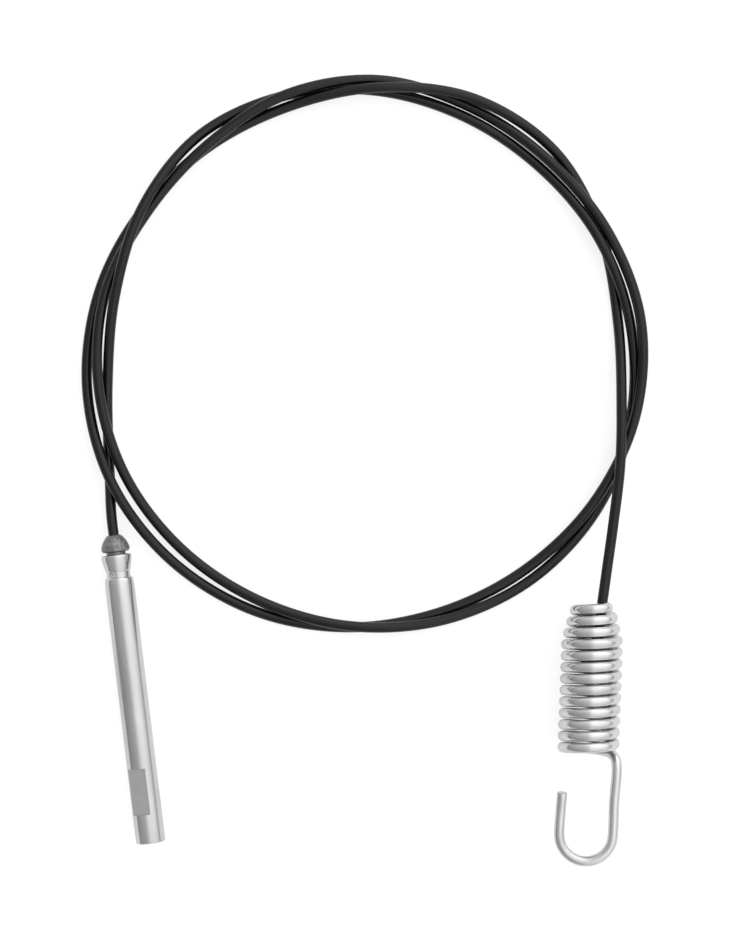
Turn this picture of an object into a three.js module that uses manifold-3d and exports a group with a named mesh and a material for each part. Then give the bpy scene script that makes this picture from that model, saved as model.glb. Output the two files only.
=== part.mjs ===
// A drive engagement cable for a walk-behind machine, lying on a table.
// A jacketed wire rope in a loose coil carries a steel adjuster tube on a swivel ferrule at one
// end and a hooked extension spring at the other.
// Millimetres, +Z up, +Y along the adjuster tube towards the cable. The origin is on the table,
// under the middle of the box that the tube and the spring fill.
import * as THREE from "three";
import { mergeVertices } from "three/addons/utils/BufferGeometryUtils.js";
import Module from "manifold-3d";

// Clearances
const seatGap = 0.3; // between pieces that touch or are crimped together
const swivelGap = 0.3; // all round the ferrule that the tube turns on

// Cable
const cableDiameter = 3.4;
const cableSides = 8;
const stepsPerRow = 1.5; // steps of the tube for each row of the route
const straightLead = 6; // straight stretch out of the swivel ferrule

// Adjuster tube, measured from its mouth, the end that holds the cable
const tubeDiameter = 9.53;
const tubeLength = 93.8;
const boreDiameter = 5.2;
const socketDiameter = 6.8; // the bored end that holds the swivel ferrule
const socketDepth = 12.6;
const collarDiameter = 9.7; // the rolled cup at the mouth
const collarWaist = 9.1; // the cup's diameter half way down
const collarWaistDepth = 2.75;
const lipRadius = 0.4;
const neckDiameter = 7.6; // the band rolled into the ferrule's groove
const neckStart = 5.5;
const neckLength = 1.9;
const neckWall = 1.3;
const neckRamp = 0.8; // length of the inner slopes at each side of the band
const shoulderLength = 1.5;
const shoulderDiameter = 9.4;
const shoulderBlend = 4; // from the shoulder to the full diameter
const endChamfer = 0.4;
const tubeSides = 32;

// Wrench flats on the adjuster tube
const flatsStart = 69.4;
const flatsLength = 15;
const acrossFlats = 7.1;
const flatsTurn = THREE.MathUtils.degToRad(25); // away from straight up, towards -X
const cutterSize = 14;

// Dimple in the band, where it is staked
const dimpleDiameter = 2.2;
const dimpleDepth = 0.45;
const dimpleTurn = THREE.MathUtils.degToRad(28); // away from straight up, towards -X
const dimpleSides = 16;

// Swivel ferrule: a die-cast dome with a grooved shank that the band holds
const domeHeight = 5.5;
const domeDiameter = 9.08;
const domeGap = 0.9; // between the dome's underside and the tube's mouth
const domeFootDiameter = 7.6;
const domeShape = [
  // share of the widest diameter, share of the height
  [0.97, 0.09],
  [1, 0.25],
  [0.92, 0.49],
  [0.84, 0.64],
  [0.7, 0.78],
  [0.45, 0.97],
];
const headEndGap = 1.1; // between the head and the socket's floor
const ferruleSides = 32;

// Spring with its hook: one wire
const wireDiameter = 3.35;
const wireSides = 8;
const coilRadius = 8.33; // to the middle of the wire
const mouthRadius = 5.5; // the first turn, drawn in over the cable
const growthPerTurn = 0.914;
const pitch = 3.68;
const firstAngle = 20; // degrees, from +X towards +Z
const lastAngle = 4620;
const stepAngle = 30;
const shankOffset = 9.5; // the hook's straight side, from the spring's axis
const shankLean = 0.45; // how far it leans back towards the axis
const shankDrop = 1.6; // how far the hook's plane lies below the axis
const bendLength = 5.2; // from the last turn to the straight side
const bendRows = [
  // inward of the straight side, down from the last turn, below the hook's plane
  [1.9, 0.7, 3.1],
  [0.4, 2.4, 0.9],
];
const hookDepth = 73.9; // the middle of the hook's bend, from the mouth along the axis
const hookRadius = 8.65;
const hookShift = 0.3;
const tipLength = 13.3;
const tipLean = 0.55;
const hookSteps = 10;

// Stop ferrule on the cable's end, inside the spring
const stopDiameter = 8.4;
const stopLength = 8;
const stopChamfer = 0.5;
const stopDepth = 13.5; // along the cable, from the spring's mouth
const stopSides = 24;

// Places on the table
const tubeX = -77.1;
const mouthY = 55.8;
const springX = 74;
const springY = 21.1;
const springLean = THREE.MathUtils.degToRad(8.9);
const coilX = 10.8;
const coilY = 110.8;
const cableMouthX = 77.25; // where the cable enters the spring
const cableMouthY = 22.6;
const cableLean = THREE.MathUtils.degToRad(14.9);
const cableDrop = 0.9; // how far the cable lies below the spring's axis
const straightRun = 12; // two of these are straight above the spring's mouth

const tubeHeight = collarDiameter / 2;
const springHeight = coilRadius + wireDiameter / 2;

// The cable's way round the coil, chosen by hand: bearing in degrees from -X, turning over +Y
// towards +X, distance from the coil's middle, and height of the cable's middle. The cable lies
// on the table, and passes over and under itself where the heights differ.
const routeRows = [
  [-20, 92.9, 2.9],
  [0, 84.3, 2.4],
  [20, 82.9, 7.6],
  [40, 85.7, 9.4],
  [60, 88.9, 3.9],
  [80, 87.9, 1.9],
  [100, 85.6, 1.8],
  [120, 83.6, 1.85],
  [140, 83.1, 2.1],
  [160, 84.2, 6.2],
  [180, 86.5, 3.9],
  [200, 88.8, 2.1],
  [220, 90.7, 1.9],
  [240, 91.1, 2.0],
  [260, 90.0, 4.5],
  [280, 88.4, 5.5],
  [300, 87.2, 3.4],
  [320, 87.1, 1.8],
  [340, 87.2, 5.0],
  [360, 86.9, 6.0],
  [380, 86.4, 5.4],
  [400, 84.1, 5.5],
  [420, 84.6, 5.5],
  [440, 87.6, 5.7],
  [460, 88.8, 4.1],
  [480, 87.2, 2.0],
  [500, 86.3, 4.6],
  [520, 87.8, 5.9],
  [540, 89.8, 6.1],
  [560, 89.8, 5.7],
  [580, 88.4, 5.0],
  [600, 87.3, 2.1],
  [620, 87.4, 1.8],
  [640, 89.0, 1.8],
  [660, 90.9, 1.9],
  [680, 92.0, 2.7],
  [700, 92.0, 6.9],
  [720, 91.0, 2.5],
  [740, 88.8, 1.8],
  [760, 86.1, 1.9],
  [780, 84.4, 1.8],
  [800, 84.0, 3.4],
  [820, 86.0, 7.2],
  [840, 89.7, 5.4],
  [860, 90.2, 2.2],
  [880, 86.0, 1.9],
  [900, 82.8, 2.4],
  [920, 85.0, 7.8],
  [931, 90.0, 9.2],
];

// A curve through points whose steps fall evenly between the points, so that strands side by
// side have their corners at the same bearings.
class PointPath extends THREE.CatmullRomCurve3 {
  getUtoTmapping(u) {
    return u;
  }
}

function roundSection(diameter, sides) {
  const corners = [];
  for (let i = 0; i < sides; i += 1) {
    const angle = (2 * Math.PI * i) / sides;
    corners.push(new THREE.Vector2(Math.cos(angle), Math.sin(angle)).multiplyScalar(diameter / 2));
  }
  return new THREE.Shape(corners);
}

function rodAlong(points, diameter, sides, steps) {
  return new THREE.ExtrudeGeometry(roundSection(diameter, sides), {
    extrudePath: new PointPath(points),
    steps,
  });
}

// A turned profile about the Y axis: rows of radius and height.
function turned(rows, sides) {
  const profile = rows.map(([radius, height]) => new THREE.Vector2(radius, height));
  return new THREE.LatheGeometry(profile, sides);
}

function named(name, geometry, material) {
  const mesh = new THREE.Mesh(geometry, material);
  mesh.name = name;
  return mesh;
}

const wasm = await Module();
wasm.setup();

function toSolid(geometry) {
  const bare = geometry.clone();
  bare.deleteAttribute("normal");
  bare.deleteAttribute("uv");
  const merged = mergeVertices(bare, 1e-4);
  return new wasm.Manifold(
    new wasm.Mesh({
      numProp: 3,
      vertProperties: new Float32Array(merged.attributes.position.array),
      triVerts: new Uint32Array(merged.index.array),
    }),
  );
}

function toGeometry(solid) {
  const mesh = solid.getMesh();
  const geometry = new THREE.BufferGeometry();
  geometry.setAttribute("position", new THREE.BufferAttribute(mesh.vertProperties, 3));
  geometry.setIndex(new THREE.BufferAttribute(mesh.triVerts, 1));
  geometry.computeVertexNormals();
  return geometry;
}

// Materials
const jacket = new THREE.MeshStandardMaterial({ color: 0x1b1b1c, roughness: 0.42, metalness: 0 });
const tubeSteel = new THREE.MeshStandardMaterial({ color: 0xc4c5c8, roughness: 0.24, metalness: 1 });
const castZinc = new THREE.MeshStandardMaterial({ color: 0x8d8d8e, roughness: 0.5, metalness: 1 });
const stopZinc = new THREE.MeshStandardMaterial({ color: 0x9a9a9b, roughness: 0.45, metalness: 1 });
const springSteel = new THREE.MeshStandardMaterial({ color: 0xcdced0, roughness: 0.2, metalness: 1 });

// Adjuster tube: turned from the mouth down, with a rolled cup and band, then two milled flats
const mouthRim = collarDiameter / 2 - lipRadius;
const socketRadius = socketDiameter / 2;
const bandInnerRadius = neckDiameter / 2 - neckWall;
const neckEnd = neckStart + neckLength;
const shoulderEnd = neckEnd + shoulderLength;

function adjusterTubeGeometry() {
  const outline = [
    [socketRadius + lipRadius, 0],
    [mouthRim, 0],
    [collarDiameter / 2, -lipRadius],
    [collarWaist / 2, -collarWaistDepth],
    [(collarWaist + neckDiameter) / 4, -(collarWaistDepth + neckStart) / 2],
    [neckDiameter / 2, -neckStart],
    [neckDiameter / 2, -neckEnd],
    [shoulderDiameter / 2, -shoulderEnd],
    [tubeDiameter / 2, -(shoulderEnd + shoulderBlend)],
    [tubeDiameter / 2, -(tubeLength - endChamfer)],
    [tubeDiameter / 2 - endChamfer, -tubeLength],
    [boreDiameter / 2 + endChamfer, -tubeLength],
    [boreDiameter / 2, -(tubeLength - endChamfer)],
    [boreDiameter / 2, -socketDepth],
    [socketRadius, -socketDepth],
    [socketRadius, -(neckEnd + neckRamp)],
    [bandInnerRadius, -neckEnd],
    [bandInnerRadius, -neckStart],
    [socketRadius, -(neckStart - neckRamp)],
    [socketRadius, -lipRadius],
    [socketRadius + lipRadius, 0],
  ];
  let solid = toSolid(turned(outline.reverse(), tubeSides));
  for (const side of [1, -1]) {
    const cutter = new THREE.BoxGeometry(cutterSize, flatsLength, cutterSize);
    cutter.translate(0, -(flatsStart + flatsLength / 2), (side * (acrossFlats + cutterSize)) / 2);
    cutter.rotateY(-flatsTurn);
    solid = solid.subtract(toSolid(cutter));
  }
  const ballRadius = ((dimpleDiameter / 2) ** 2 + dimpleDepth ** 2) / (2 * dimpleDepth);
  const ball = new THREE.SphereGeometry(ballRadius, dimpleSides, dimpleSides / 2);
  ball.translate(0, -(neckStart + neckLength / 2), neckDiameter / 2 + ballRadius - dimpleDepth);
  ball.rotateY(-dimpleTurn);
  return toGeometry(solid.subtract(toSolid(ball)));
}

// Swivel ferrule: dome, shank in the socket, groove under the band and retaining head
const shankRadius = socketRadius - swivelGap;
const grooveRadius = bandInnerRadius - swivelGap;
const grooveStart = neckStart - neckRamp;
const grooveEnd = neckEnd + neckRamp + swivelGap;
const domeFoot = domeGap;
const domeTop = domeGap + domeHeight;

function swivelFerruleGeometry() {
  const outline = [
    [0, -(socketDepth - headEndGap)],
    [shankRadius, -(socketDepth - headEndGap)],
    [shankRadius, -grooveEnd],
    [grooveRadius, -(grooveEnd - neckRamp)],
    [grooveRadius, -(grooveStart + neckRamp - swivelGap)],
    [shankRadius, -(grooveStart - swivelGap)],
    [shankRadius, domeFoot],
    [domeFootDiameter / 2, domeFoot],
    ...domeShape.map(([wide, high]) => [(wide * domeDiameter) / 2, domeFoot + high * domeHeight]),
    [0, domeTop],
  ];
  return turned(outline, ferruleSides);
}

// Hook spring: the wire's points in the spring's own frame, +Y out of the mouth
function springWirePoints() {
  const points = [];
  const coilPoint = (angle) => {
    const turns = (angle - firstAngle) / 360;
    const radius = Math.min(coilRadius, mouthRadius + growthPerTurn * turns);
    const bearing = THREE.MathUtils.degToRad(angle);
    return new THREE.Vector3(radius * Math.cos(bearing), -pitch * turns, radius * Math.sin(bearing));
  };
  points.push(coilPoint(firstAngle));
  const firstStep = Math.ceil(firstAngle / stepAngle) * stepAngle;
  for (let angle = firstStep; angle <= lastAngle; angle += stepAngle) {
    points.push(coilPoint(angle));
  }
  const coilEnd = points[points.length - 1];
  const shankTop = coilEnd.y - bendLength;
  for (const [inward, down, below] of bendRows) {
    points.push(new THREE.Vector3(shankOffset - inward, coilEnd.y - down, -shankDrop - below));
  }
  points.push(new THREE.Vector3(shankOffset, shankTop, -shankDrop));
  points.push(new THREE.Vector3(shankOffset - shankLean, (shankTop - hookDepth) / 2, -shankDrop));
  for (let i = 0; i <= hookSteps; i += 1) {
    const angle = (Math.PI * i) / hookSteps;
    points.push(
      new THREE.Vector3(
        hookShift + hookRadius * Math.cos(angle),
        -hookDepth - hookRadius * Math.sin(angle),
        -shankDrop,
      ),
    );
  }
  const tipX = hookShift - hookRadius;
  points.push(new THREE.Vector3(tipX + tipLean / 3, -hookDepth + tipLength / 2, -shankDrop));
  points.push(new THREE.Vector3(tipX + tipLean, -hookDepth + tipLength, -shankDrop));
  return points;
}

// Cable: from the swivel ferrule's dome, round the coil and into the spring to the stop ferrule
function cableEndPoint(distance) {
  return new THREE.Vector3(
    cableMouthX + distance * Math.sin(cableLean),
    cableMouthY + distance * Math.cos(cableLean),
    springHeight - cableDrop,
  );
}

function cablePoints() {
  const start = mouthY + domeTop + seatGap;
  const points = [
    new THREE.Vector3(tubeX, start, tubeHeight),
    new THREE.Vector3(tubeX, start + straightLead, tubeHeight),
  ];
  for (const [bearing, radius, height] of routeRows) {
    const angle = THREE.MathUtils.degToRad(bearing);
    points.push(
      new THREE.Vector3(
        coilX - radius * Math.cos(angle),
        coilY + radius * Math.sin(angle),
        height,
      ),
    );
  }
  points.push(cableEndPoint(2 * straightRun));
  points.push(cableEndPoint(straightRun));
  points.push(cableEndPoint(0));
  points.push(cableEndPoint(seatGap - stopDepth));
  return points;
}

// Stop ferrule: a plain barrel on the cable's end
function stopFerruleGeometry() {
  const radius = stopDiameter / 2;
  const outline = [
    [0, -stopLength],
    [radius - stopChamfer, -stopLength],
    [radius, -(stopLength - stopChamfer)],
    [radius, -stopChamfer],
    [radius - stopChamfer, 0],
    [0, 0],
  ];
  return turned(outline, stopSides);
}

// The whole part
const part = new THREE.Group();

const tubeEnd = new THREE.Group();
tubeEnd.position.set(tubeX, mouthY, tubeHeight);
tubeEnd.add(named("adjuster_tube", adjusterTubeGeometry(), tubeSteel));
tubeEnd.add(named("swivel_ferrule", swivelFerruleGeometry(), castZinc));
part.add(tubeEnd);

const route = cablePoints();
const cableSteps = Math.round((route.length - 1) * stepsPerRow);
part.add(named("cable", rodAlong(route, cableDiameter, cableSides, cableSteps), jacket));

const springEnd = new THREE.Group();
springEnd.position.set(springX, springY, springHeight);
springEnd.rotation.z = -springLean;
const wire = springWirePoints();
springEnd.add(
  named("hook_spring", rodAlong(wire, wireDiameter, wireSides, wire.length - 1), springSteel),
);
part.add(springEnd);

const stop = named("stop_ferrule", stopFerruleGeometry(), stopZinc);
stop.position.copy(cableEndPoint(-stopDepth));
stop.rotation.z = -cableLean;
part.add(stop);

export default part;
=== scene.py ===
# A drive engagement cable on a pale table, seen from straight above.
# A jacketed wire rope in a loose coil carries a steel adjuster tube at one end and a hooked
# spring at the other. Everything is in metres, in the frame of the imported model.
import math

import bmesh
import bpy
from mathutils import Matrix, Vector, noise


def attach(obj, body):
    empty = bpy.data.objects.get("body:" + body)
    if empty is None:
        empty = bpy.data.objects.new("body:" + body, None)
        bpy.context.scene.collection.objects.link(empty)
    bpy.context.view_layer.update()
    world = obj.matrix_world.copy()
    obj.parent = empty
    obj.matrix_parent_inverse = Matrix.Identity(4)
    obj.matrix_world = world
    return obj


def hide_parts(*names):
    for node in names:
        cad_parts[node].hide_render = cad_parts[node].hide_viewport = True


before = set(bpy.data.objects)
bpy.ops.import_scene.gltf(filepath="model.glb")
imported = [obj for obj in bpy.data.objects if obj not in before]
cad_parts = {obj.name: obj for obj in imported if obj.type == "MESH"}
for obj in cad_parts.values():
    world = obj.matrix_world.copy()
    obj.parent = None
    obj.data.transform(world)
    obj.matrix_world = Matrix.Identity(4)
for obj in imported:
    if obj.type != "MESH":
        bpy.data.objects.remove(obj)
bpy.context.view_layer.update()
scene = bpy.context.scene
MM = 0.001


# The camera stands over the table, square to it, and is turned so that the tube leans in the
# picture as it does in the photograph. A long lens keeps the coil round.
camera_height = 0.848
camera_turn = math.radians(-6.9)
camera = bpy.data.objects.new("camera", bpy.data.cameras.new("camera"))
camera.data.lens = 100
camera.data.sensor_width = 36
camera.data.clip_start = 0.05
camera.location = (0.0066, 0.0738, camera_height)
camera.rotation_euler = (0, 0, camera_turn)
scene.collection.objects.link(camera)
scene.camera = camera


# The cable is a stranded wire rope in a smooth black plastic jacket. It is stiff enough to lie
# in a loose coil of its own, a little over two and a half turns, and it ends in the spring.
cable_diameter = 3.4 * MM
cable_sides = 24
cable_steps = 12  # for each row of the route
tube_mouth = Vector((-77.1, 55.8, 4.85)) * MM  # the middle of the tube's mouth
dome_top = tube_mouth.y + 6.4 * MM
cable_entry = 2.6 * MM  # how far the cable goes into each ferrule
coil_middle = Vector((10.8, 110.8, 0)) * MM
spring_mouth = Vector((74, 21.1, 10.005)) * MM
spring_lean = math.radians(8.9)
cable_mouth = Vector((77.25, 22.6, 9.105)) * MM  # where the cable passes the spring's mouth
cable_lean = math.radians(14.9)
stop_depth = 13.5 * MM  # of the stop ferrule, along the cable
straight_run = 12 * MM
first_rise = 6.3 * MM  # of the cable over the dome before it joins the coil
ROUTE = [
    # bearing in degrees from -X over +Y, distance from the coil's middle, height
    (-20, 92.9, 2.9), (0, 84.3, 2.4), (20, 82.9, 7.6), (40, 85.7, 9.4), (60, 88.9, 3.9),
    (80, 87.9, 1.9), (100, 85.6, 1.8), (120, 83.6, 1.85), (140, 83.1, 2.1), (160, 84.2, 6.2),
    (180, 86.5, 3.9), (200, 88.8, 2.1), (220, 90.7, 1.9), (240, 91.1, 2.0), (260, 90.0, 4.5),
    (280, 88.4, 5.5), (300, 87.2, 3.4), (320, 87.1, 1.8), (340, 87.2, 5.0), (360, 86.9, 6.0),
    (380, 86.4, 5.4), (400, 84.1, 5.5), (420, 84.6, 5.5), (440, 87.6, 5.7), (460, 88.8, 4.1),
    (480, 87.2, 2.0), (500, 86.3, 4.6), (520, 87.8, 5.9), (540, 89.8, 6.1), (560, 89.8, 5.7),
    (580, 88.4, 5.0), (600, 87.3, 2.1), (620, 87.4, 1.8), (640, 89.0, 1.8), (660, 90.9, 1.9),
    (680, 92.0, 2.7), (700, 92.0, 6.9), (720, 91.0, 2.5), (740, 88.8, 1.8), (760, 86.1, 1.9),
    (780, 84.4, 1.8), (800, 84.0, 3.4), (820, 86.0, 7.2), (840, 89.7, 5.4), (860, 90.2, 2.2),
    (880, 86.0, 1.9), (900, 82.8, 2.4), (920, 85.0, 7.8), (931, 90.0, 9.2),
]


def smooth_line(points, steps):
    """A smooth line through points: a centripetal Catmull-Rom curve with steps to each stretch."""
    ends = [2 * points[0] - points[1], *points, 2 * points[-1] - points[-2]]
    line = [points[0].copy()]
    for before, start, stop, after in zip(ends, ends[1:], ends[2:], ends[3:]):
        width = math.sqrt((stop - start).length)
        width_before = math.sqrt((start - before).length)
        width_after = math.sqrt((after - stop).length)
        leave = (start - before) / width_before - (stop - before) / (width_before + width)
        leave = (leave + (stop - start) / width) * width
        arrive = (stop - start) / width - (after - start) / (width + width_after)
        arrive = (arrive + (after - stop) / width_after) * width
        for step in range(1, steps + 1):
            t = step / steps
            line.append(
                (2 * t**3 - 3 * t**2 + 1) * start
                + (t**3 - 2 * t**2 + t) * leave
                + (3 * t**2 - 2 * t**3) * stop
                + (t**3 - t**2) * arrive
            )
    return line


def finished(name, mesh_data, body, sharp=35):
    """Makes a piece from a bmesh, smooth but for edges sharper than so many degrees."""
    mesh = bpy.data.meshes.new(name)
    mesh_data.to_mesh(mesh)
    mesh_data.free()
    mesh.shade_smooth()
    mesh.set_sharp_from_angle(angle=math.radians(sharp))
    piece = bpy.data.objects.new(name, mesh)
    scene.collection.objects.link(piece)
    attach(piece, body)
    return piece


def swept_rod(path, radius, sides, slant=0, rounding=0):
    """A rod of round section along a path, each ring carried on from the last without a twist.
    The attribute "wrap" keeps each corner's place across the rod and its distance along it.
    Its ends are cut square or at a slant, and their edges may be rounded."""
    rod = bmesh.new()
    wrap = rod.verts.layers.float_vector.new("wrap")
    headings = [(b - a).normalized() for a, b in zip(path, path[1:])]
    between = [(a + b).normalized() for a, b in zip(headings, headings[1:])]
    headings = [headings[0], *between, headings[-1]]
    place = Matrix.Translation(path[0]) @ headings[0].to_track_quat("Z", "Y").to_matrix().to_4x4()
    ring = bmesh.ops.create_circle(rod, cap_ends=True, segments=sides, radius=radius, matrix=place)["verts"]
    for corner in ring:
        local = place.inverted() @ corner.co
        corner[wrap] = (local.x, local.y, 0)
    first_ring = ring
    first_edges = list(rod.edges)
    edges = first_edges
    along = 0
    for last, here, old, new in zip(path, path[1:], headings, headings[1:]):
        grown = bmesh.ops.extrude_edge_only(rod, edges=edges)["geom"]
        ring = [item for item in grown if isinstance(item, bmesh.types.BMVert)]
        edges = [item for item in grown if isinstance(item, bmesh.types.BMEdge)]
        turn = old.rotation_difference(new).to_matrix()
        bmesh.ops.rotate(rod, verts=ring, cent=last, matrix=turn)
        bmesh.ops.translate(rod, verts=ring, vec=here - last)
        along += (here - last).length
        for corner in ring:
            corner[wrap] = (corner[wrap].x, corner[wrap].y, along)
    bmesh.ops.contextual_create(rod, geom=edges)
    if slant:
        tilt = Matrix.Rotation(slant, 3, headings[0].orthogonal())
        bmesh.ops.rotate(rod, verts=first_ring, cent=path[0], matrix=tilt)
        tilt = Matrix.Rotation(slant, 3, headings[-1].cross(Vector((0, 0, 1))))
        bmesh.ops.rotate(rod, verts=ring, cent=path[-1], matrix=tilt)
    if rounding:
        rims = first_edges + edges
        rounded = {"affect": "EDGES", "segments": 3, "profile": 0.5, "material": -1}
        bmesh.ops.bevel(rod, geom=rims, offset=rounding, **rounded)
    bmesh.ops.recalc_face_normals(rod, faces=rod.faces)
    return rod


class Shade:
    """A socket in a material's nodes. Sums on it add Math nodes, and node() adds any other."""

    def __init__(self, tree, socket=None):
        self.tree = tree
        self.socket = socket

    def node(self, kind, settings, inputs, output=0):
        """Adds a node, sets its settings, then its sockets, and gives one of its outputs."""
        made = self.tree.nodes.new("ShaderNode" + kind)
        for name, value in settings.items():
            if name == "stops":
                ramp = made.color_ramp.elements
                for position in value[len(ramp):]:
                    ramp.new(position[0])
                for element, (position, colour) in zip(ramp, value):
                    element.position = position
                    element.color = colour
            else:
                setattr(made, name, value)
        for name, value in inputs.items():
            if isinstance(value, Shade):
                self.tree.links.new(value.socket, made.inputs[name])
            else:
                made.inputs[name].default_value = value
        return Shade(self.tree, made.outputs[output]) if len(made.outputs) else None

    def sums(self, operation, first, second):
        return self.node("Math", {"operation": operation}, {0: first, 1: second})

    def __add__(self, other):
        return self.sums("ADD", self, other)

    def __radd__(self, other):
        return self.sums("ADD", other, self)

    def __sub__(self, other):
        return self.sums("SUBTRACT", self, other)

    def __rsub__(self, other):
        return self.sums("SUBTRACT", other, self)

    def __mul__(self, other):
        return self.sums("MULTIPLY", self, other)

    def __rmul__(self, other):
        return self.sums("MULTIPLY", other, self)

    def noise(self, where, scale, detail=2, stretch=(1, 1, 1)):
        """Soft noise from 0 to 1, at a scale in marks per metre, drawn out along the axes."""
        spread = self.node("Mapping", {}, {"Vector": where, "Scale": stretch})
        return self.node("TexNoise", {}, {"Vector": spread, "Scale": scale, "Detail": detail})

    def steps(self, low, high):
        """0 below low, 1 above high and a smooth rise between them."""
        settings = {"interpolation_type": "SMOOTHSTEP"}
        return self.node("MapRange", settings, {"Value": self, "From Min": low, "From Max": high})

    def mix(self, first, second):
        """A colour between two colours."""
        return self.node("Mix", {"data_type": "RGBA"}, {0: self, 6: first, 7: second}, 2)


def new_finish(name):
    """An empty material and its nodes."""
    material = bpy.data.materials.new(name)
    material.use_nodes = True
    material.node_tree.nodes.clear()
    return material, Shade(material.node_tree)


def surface(nodes, inputs):
    """Ends a material with one shader."""
    shader = nodes.node("BsdfPrincipled", {}, inputs)
    nodes.node("OutputMaterial", {}, {"Surface": shader})


def jacket_finish():
    """Black extruded plastic: satin, with faint lines along it, rubbed patches and dust."""
    material, nodes = new_finish("black_jacket")
    wrap = nodes.node("Attribute", {"attribute_name": "wrap"}, {}, 1)
    drawn = nodes.noise(wrap, 2600, 3, (1, 1, 0.012))
    rubbed = nodes.noise(wrap, 160, 4, (1, 1, 0.35)).steps(0.48, 0.72)
    dust = nodes.noise(wrap, 5200, 2, (1, 1, 0.5)).steps(0.66, 0.78)
    tone = rubbed.mix((0.004, 0.004, 0.0043, 1), (0.008, 0.008, 0.0083, 1))
    tone = (dust * 0.25).mix(tone, (0.03, 0.03, 0.029, 1))
    rough = 0.16 + rubbed * 0.14 + drawn * 0.08
    height = drawn * 0.7 + nodes.noise(wrap, 900, 2, (1, 1, 0.2)) * 0.5
    bump = nodes.node("Bump", {}, {"Strength": 0.25, "Distance": 0.00008, "Height": height})
    surface(nodes, {"Base Color": tone, "Roughness": rough, "Specular IOR Level": 0.46, "Normal": bump})
    return material


def down_the_cable(distance):
    """A point on the cable's straight end, so far before the spring's mouth."""
    return cable_mouth + distance * Vector((math.sin(cable_lean), math.cos(cable_lean), 0))


route = [
    Vector((tube_mouth.x, dome_top - cable_entry, tube_mouth.z)),
    Vector((tube_mouth.x, dome_top + first_rise, tube_mouth.z)),
]
for bearing, radius, height in ROUTE:
    angle = math.radians(bearing)
    offset = Vector((-radius * math.cos(angle), radius * math.sin(angle), height))
    route.append(coil_middle + offset * MM)
straight_places = [2 * straight_run, straight_run, 0, -stop_depth - cable_entry]
route += [down_the_cable(distance) for distance in straight_places]
cable_line = smooth_line(route, cable_steps)
cable_length = sum((b - a).length for a, b in zip(cable_line, cable_line[1:]))
cable = finished("jacketed_cable", swept_rod(cable_line, cable_diameter / 2, cable_sides), "cable")
cable.data.materials.append(jacket_finish())
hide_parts("cable")


# The swivel ferrule is die-cast zinc round the rope's end: a domed head that the cable comes out
# of, and a grooved shank that the tube's band holds so that the tube can turn.
def turned_piece(outline, sides, middle, closed=False):
    """A piece turned about the Y axis through a point, from rows of radius and place along it."""
    piece = bmesh.new()
    corners = [piece.verts.new((radius, along, 0)) for radius, along in outline]
    pairs = list(zip(corners, corners[1:]))
    if closed:
        pairs.append((corners[-1], corners[0]))
    for pair in pairs:
        piece.edges.new(pair)
    bmesh.ops.spin(
        piece,
        geom=piece.verts[:] + piece.edges[:],
        cent=(0, 0, 0),
        axis=(0, 1, 0),
        angle=2 * math.pi,
        steps=sides,
        use_merge=True,
    )
    bmesh.ops.remove_doubles(piece, verts=piece.verts, dist=1e-7)
    bmesh.ops.recalc_face_normals(piece, faces=piece.faces)
    bmesh.ops.translate(piece, verts=piece.verts, vec=middle)
    return piece


dome_sides = 96
dome_foot = 0.8 * MM  # where the dome begins, over the tube's mouth
hole_edge = 2.05 * MM  # the radius within which the dome's hole keeps its round shape
lump_scale = 620
lump_height = 0.045
grain_scale = 1900
grain_height = 0.02
seam_width = 0.16 * MM
seam_height = 0.07
dome_outline = [
    # radius and height over the tube's mouth, in millimetres
    (0, 3.2), (1.78, 3.2), (1.78, 6.2), (1.85, 6.34), (2.0, 6.38), (2.2, 6.27), (2.5, 6.0),
    (2.85, 5.62), (3.2, 5.15), (3.55, 4.65), (3.85, 4.15), (4.1, 3.65), (4.3, 3.15), (4.45, 2.65),
    (4.53, 2.2), (4.53, 1.8), (4.42, 1.4), (4.2, 1.1), (3.85, 0.92), (3.3, 0.9), (3.1, 0.8), (3.1, -4.1),
    (3.0, -4.4), (2.25, -5.2), (2.25, -7.7), (3.0, -8.35), (3.1, -8.5), (3.1, -11.2),
    (2.8, -11.5), (0, -11.5),
]
dome = turned_piece([(r * MM, h * MM) for r, h in dome_outline], dome_sides, Vector())
for corner in dome.verts:
    out = Vector((corner.co.x, 0, corner.co.z))
    if corner.co.y > dome_foot and out.length > hole_edge:
        lumps = noise.noise(corner.co * lump_scale) * lump_height
        lumps += noise.noise(corner.co * grain_scale) * grain_height
        seam = math.exp(-((corner.co.z / seam_width) ** 2)) * seam_height
        corner.co += out.normalized() * (lumps + seam) * MM
bmesh.ops.translate(dome, verts=dome.verts, vec=tube_mouth)
swivel = finished("domed_swivel", dome, "cable")


def cast_finish(name, light, dark):
    """Die-cast zinc gone dull: mottled grey with darker pits and a few rubbed bright spots."""
    material, nodes = new_finish(name)
    place = nodes.node("TexCoord", {}, {}, 3)
    mottle = nodes.noise(place, 900, 5)
    pits = nodes.noise(place, 2600, 3).steps(0.56, 0.7)
    streaks = nodes.noise(place, 1500, 3, (1, 0.12, 1)).steps(0.4, 0.75)
    tone = mottle.steps(0.35, 0.68).mix(dark, light)
    tone = (pits * 0.7).mix(tone, (0.08, 0.08, 0.085, 1))
    rough = 0.42 + mottle * 0.2 + pits * 0.15 - streaks * 0.12
    height = mottle * 0.8 - pits * 0.7 + streaks * 0.3
    bump = nodes.node("Bump", {}, {"Strength": 0.55, "Distance": 0.00012, "Height": height})
    surface(nodes, {"Base Color": tone, "Metallic": 0.9, "Roughness": rough, "Normal": bump})
    return material


swivel.data.materials.append(cast_finish("die_cast_zinc", (0.4, 0.4, 0.4, 1), (0.25, 0.25, 0.255, 1)))
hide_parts("swivel_ferrule")


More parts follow.
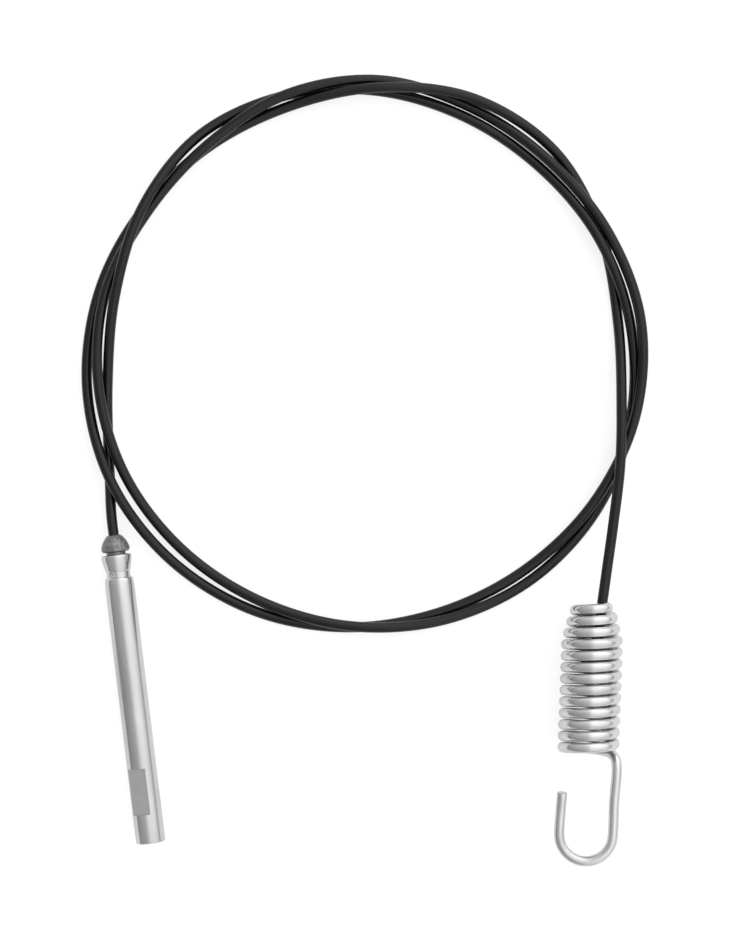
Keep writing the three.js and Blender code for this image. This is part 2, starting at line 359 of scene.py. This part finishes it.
# The adjuster is a plated steel tube. Its mouth is rolled in over the ferrule's groove and staked
# with one dimple, its other end is tapped inside, and two wrench flats are milled near that end.
tube_sides = 128
tube_radius = 4.765
tube_length = 93.8
flats_start = 69.4
flats_length = 15
half_flats = 3.55 * MM
flats_turn = math.radians(25)
flats_normal = Vector((-math.sin(flats_turn), 0, math.cos(flats_turn)))
skin_radius = 4 * MM  # between the tube's inside and its outside
dimple_turn = math.radians(28)
dimple_radius = 1.15 * MM
dimple_place = -6.4 * MM
band_radius = 3.78 * MM
dimple_depth = 0.5 * MM
thread_pitch = 1.27
thread_start = 62
bore_radius = 2.6
thread_radius = 3.1
outside = [
    # radius and distance from the mouth, in millimetres
    (3.75, 0.12), (3.9, 0.02), (4.15, 0), (4.45, 0.03), (4.68, 0.14), (4.8, 0.32), (4.85, 0.6),
    (4.84, 0.95), (4.8, 1.4), (4.72, 2.0), (4.61, 2.65), (4.47, 3.3), (4.32, 3.9), (4.18, 4.5),
    (4.07, 5.0), (3.99, 5.25), (3.9, 5.4), (3.79, 5.46), (3.78, 5.6), (3.78, 5.85), (3.78, 6.1),
    (3.78, 6.35), (3.78, 6.6), (3.78, 6.85), (3.78, 7.1), (3.79, 7.3), (3.92, 7.36), (4.1, 7.44),
    (4.27, 7.6), (4.41, 7.85), (4.52, 8.2), (4.6, 8.65), (4.66, 9.2), (4.7, 10.0), (4.73, 11.2),
    (4.75, 12.9), (tube_radius, 15), (tube_radius, 20),
    (tube_radius, flats_start), (tube_radius, flats_start + 0.02),
    (tube_radius, flats_start + flats_length - 0.02), (tube_radius, flats_start + flats_length),
    (tube_radius, 93.3), (4.68, 93.62), (4.5, 93.77), (4.3, tube_length),
]
inside = [(bore_radius + 0.55, tube_length), (bore_radius + 0.1, tube_length - 0.5)]
crest = tube_length - 0.6
while crest > thread_start:
    inside += [
        (bore_radius, crest),
        (bore_radius, crest - thread_pitch / 8),
        (thread_radius, crest - thread_pitch / 2),
        (thread_radius, crest - thread_pitch * 5 / 8),
    ]
    crest -= thread_pitch
inside += [(bore_radius, crest), (bore_radius, 12.6), (3.4, 12.6), (3.4, 8.3), (2.55, 7.4)]
inside += [(2.55, 5.5), (3.4, 4.7), (3.4, 0.5)]
profile = [(radius * MM, -depth * MM) for radius, depth in outside + inside]
tube = turned_piece(profile, tube_sides, Vector(), closed=True)
low = -(flats_start + flats_length) * MM
high = -flats_start * MM
for side in (1, -1):
    normal = flats_normal * side
    near = [face for face in tube.faces if low < face.calc_center_median().y < high]
    skin = [face for face in near if face.calc_center_median().xz.length > skin_radius]
    cut = skin + list({edge for face in skin for edge in face.edges})
    cut += list({corner for face in skin for corner in face.verts})
    bmesh.ops.bisect_plane(tube, geom=cut, plane_co=normal * half_flats, plane_no=normal, dist=1e-8)
    for corner in tube.verts:
        over = corner.co.dot(normal) - half_flats
        within = low + 1e-6 < corner.co.y < high - 1e-6
        if over > 0 and within and corner.co.xz.length > skin_radius:
            corner.co -= normal * over
dimple_outward = Vector((-math.sin(dimple_turn), 0, math.cos(dimple_turn)))
dimple_middle = dimple_outward * band_radius + Vector((0, dimple_place, 0))
for corner in tube.verts:
    away = (corner.co - dimple_middle).length / dimple_radius
    if away < 1:
        pressed = (1 - away**2) ** 1.5 * dimple_depth
        corner.co -= dimple_outward * pressed
bmesh.ops.translate(tube, verts=tube.verts, vec=tube_mouth)
adjuster = finished("plated_adjuster_tube", tube, "adjuster", 28)


def plated_tube_finish():
    """Zinc-plated turned steel: smooth, with fine turning lines round it and dull smudges."""
    material, nodes = new_finish("zinc_plated_tube")
    place = nodes.node("TexCoord", {}, {}, 3)
    lines = nodes.noise(place, 4200, 2, (0.03, 1, 0.03))
    smudge = nodes.noise(place, 95, 3, (1, 0.3, 1)).steps(0.4, 0.75)
    specks = nodes.noise(place, 3200, 2).steps(0.68, 0.76)
    tone = smudge.mix((0.74, 0.74, 0.745, 1), (0.62, 0.62, 0.62, 1))
    tone = (specks * 0.5).mix(tone, (0.3, 0.3, 0.3, 1))
    rough = 0.16 + smudge * 0.1 + lines * 0.04 + specks * 0.2
    height = lines * 0.5 + nodes.noise(place, 300, 2) * 0.8 - specks * 0.4
    bump = nodes.node("Bump", {}, {"Strength": 0.18, "Distance": 0.0001, "Height": height})
    surface(nodes, {"Base Color": tone, "Metallic": 1, "Roughness": rough, "Normal": bump})
    return material


def milled_finish():
    """The flats' milled face under the plating: duller, with the cutter's fine arcs across it."""
    material, nodes = new_finish("zinc_plated_flats")
    place = nodes.node("TexCoord", {}, {}, 3)
    cuts = nodes.noise(place, 3000, 3, (0.06, 1, 0.06))
    patches = nodes.noise(place, 420, 3)
    tone = patches.mix((0.86, 0.86, 0.86, 1), (0.76, 0.76, 0.765, 1))
    bump = nodes.node("Bump", {}, {"Strength": 0.35, "Distance": 0.0001, "Height": cuts})
    surface(nodes, {"Base Color": tone, "Metallic": 1, "Roughness": 0.34 + cuts * 0.12, "Normal": bump})
    return material


adjuster.data.materials.append(plated_tube_finish())
adjuster.data.materials.append(milled_finish())
for face in adjuster.data.polygons:
    along = face.center.y - tube_mouth.y
    if low < along < high and abs(face.normal.dot(flats_normal)) > 0.9999:
        face.material_index = 1
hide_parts("adjuster_tube")


# The hook spring is one hard-drawn wire, plated bright: thirteen close turns, the first three
# drawn in over the cable, and an open hook that the last turn is bent out into.
wire_radius = 1.675 * MM
wire_sides = 24
coil_radius = 8.33
mouth_radius = 5.5
growth = 0.914
pitch = 3.68
first_angle = 20  # where the coil's pitch and growth are counted from
cut_angle = 33  # where the wire is cut off
last_angle = 4620
shank_offset = 9.5
shank_lean = 0.45
shank_drop = 1.6
hook_depth = 73.9
hook_radius = 8.65
hook_shift = 0.3
tip_length = 13.3
tip_lean = 0.55
bend_length = 5.2
cut_slant = math.radians(9)
cut_rounding = 0.18 * MM


def coil_point(angle):
    """A point of the coil's wire, in millimetres from the spring's mouth."""
    turns = (angle - first_angle) / 360
    radius = min(coil_radius, mouth_radius + growth * turns)
    bearing = math.radians(angle)
    return Vector((radius * math.cos(bearing), -pitch * turns, radius * math.sin(bearing)))


wire_points = [coil_point(angle) for angle in [cut_angle, *range(60, last_angle + 1, 30)]]
coil_end = wire_points[-1].y
shank_top = coil_end - bend_length
wire_points += [
    Vector((shank_offset - 1.9, coil_end - 0.7, -shank_drop - 3.1)),
    Vector((shank_offset - 0.4, coil_end - 2.4, -shank_drop - 0.9)),
    Vector((shank_offset, shank_top, -shank_drop)),
    Vector((shank_offset - shank_lean, (shank_top - hook_depth) / 2, -shank_drop)),
]
for step in range(11):
    angle = math.pi * step / 10
    across = hook_shift + hook_radius * math.cos(angle)
    wire_points.append(Vector((across, -hook_depth - hook_radius * math.sin(angle), -shank_drop)))
tip_x = hook_shift - hook_radius
wire_points += [
    Vector((tip_x + tip_lean / 3, tip_length / 2 - hook_depth, -shank_drop)),
    Vector((tip_x + tip_lean, tip_length - hook_depth, -shank_drop)),
]
wire_line = [point * MM for point in smooth_line(wire_points, 4)]
wire = swept_rod(wire_line, wire_radius, wire_sides, cut_slant, cut_rounding)
lean = Matrix.Translation(spring_mouth) @ Matrix.Rotation(-spring_lean, 4, "Z")
bmesh.ops.transform(wire, matrix=lean, verts=wire.verts)
spring = finished("plated_hook_spring", wire, "spring")


def spring_finish():
    """Hard-drawn wire under bright zinc: die lines along the wire and faint dull patches."""
    material, nodes = new_finish("bright_zinc_wire")
    wrap = nodes.node("Attribute", {"attribute_name": "wrap"}, {}, 1)
    drawn = nodes.noise(wrap, 3600, 3, (1, 1, 0.02))
    dull = nodes.noise(wrap, 260, 4, (1, 1, 0.4)).steps(0.45, 0.75)
    tone = dull.mix((0.8, 0.8, 0.805, 1), (0.66, 0.66, 0.66, 1))
    rough = 0.15 + dull * 0.1 + drawn * 0.06
    height = drawn + nodes.noise(wrap, 700, 2, (1, 1, 0.3)) * 0.4
    bump = nodes.node("Bump", {}, {"Strength": 0.2, "Distance": 0.00006, "Height": height})
    surface(nodes, {"Base Color": tone, "Metallic": 1, "Roughness": rough, "Normal": bump})
    return material


spring.data.materials.append(spring_finish())
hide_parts("hook_spring")


# The stop ferrule is a plain zinc barrel cast round the cable's end. It lies inside the spring,
# and the drawn-in turns can't pass over it.
barrel_sides = 64
stop_outline = [
    # radius and place along the barrel, in millimetres
    (0, -8), (3.5, -8), (3.85, -7.9), (4.1, -7.65), (4.2, -7.3), (4.2, -0.7), (4.1, -0.35),
    (3.85, -0.1), (3.5, 0), (2.1, 0), (1.78, -0.3), (1.78, -2.6), (0, -2.6),
]
barrel = turned_piece([(r * MM, h * MM) for r, h in stop_outline], barrel_sides, Vector())
along_cable = Matrix.Translation(down_the_cable(-stop_depth)) @ Matrix.Rotation(-cable_lean, 4, "Z")
bmesh.ops.transform(barrel, matrix=along_cable, verts=barrel.verts)
stop = finished("stop_barrel", barrel, "cable")
stop.data.materials.append(cast_finish("plain_cast_zinc", (0.5, 0.5, 0.5, 1), (0.3, 0.3, 0.305, 1)))
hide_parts("stop_ferrule")


# The table is a plain pale sheet that shows as white and keeps the object's soft shadow. Metal
# mirrors it a little darker than the camera sees it.
floor_mesh = bmesh.new()
bmesh.ops.create_grid(floor_mesh, x_segments=1, y_segments=1, size=3)
floor_data = bpy.data.meshes.new("table_sheet")
floor_mesh.to_mesh(floor_data)
floor_mesh.free()
floor = bpy.data.objects.new("table_sheet", floor_data)
scene.collection.objects.link(floor)
floor_finish, nodes = new_finish("white_sheet")
for_camera = nodes.node("LightPath", {}, {}, "Is Camera Ray")
for_metal = nodes.node("LightPath", {}, {}, "Is Glossy Ray")
added = for_camera * 0.76 + for_metal * 0.18
paper = for_camera.mix((0.85, 0.85, 0.85, 1), (0.46, 0.46, 0.46, 1))
settings = {"Base Color": paper, "Roughness": 0.95, "Specular IOR Level": 0}
surface(nodes, {**settings, "Emission Color": (1, 1, 1, 1), "Emission Strength": added})
floor.data.materials.append(floor_finish)


# The light is a soft studio room, bright over the right side of the picture and dimmer over the
# left. Its horizon is dark, which draws the thin dark lines along round metal.
room_stops = [
    # place from the left horizon, 0, over the top, 0.5, to the right horizon, 1
    (0.0, 0.34),
    (0.12, 0.44),
    (0.36, 0.56),
    (0.46, 0.72),
    (0.54, 1.04),
    (0.72, 1.14),
    (0.9, 1.04),
    (0.97, 0.8),
    (1.0, 0.5),
]
behind_objects = (0.75, 0.75, 0.75, 1)  # what the camera sees past the table's edge
room_strength = 1.33
world = bpy.data.worlds.new("studio")
world.use_nodes = True
world.node_tree.nodes.clear()
room = Shade(world.node_tree)
ahead = room.node("TexCoord", {}, {}, "Generated")
squared = room.node("Mapping", {}, {"Vector": ahead, "Rotation": (0, 0, -camera_turn)})
across = room.node("SeparateXYZ", {}, {"Vector": squared}, "X")
back = room.node("SeparateXYZ", {}, {"Vector": squared}, "Y")
up = room.node("SeparateXYZ", {}, {"Vector": squared}, "Z")
stops = [(place, (level, level, level, 1)) for place, level in room_stops]
glow = room.node("ValToRGB", {"stops": stops}, {"Fac": across * 0.5 + 0.5})
horizon = up.steps(0.0, 0.16) * 0.85 + 0.15
level = horizon * (0.74 + back * 0.26)
glow = level.mix((0, 0, 0, 1), glow)
seen = room.node("LightPath", {}, {}, "Is Camera Ray")
colour = seen.mix(glow, behind_objects)
background = room.node("Background", {}, {"Color": colour, "Strength": room_strength})
room.node("OutputWorld", {}, {"Surface": background})
scene.world = world
scene.view_settings.view_transform = "Standard"
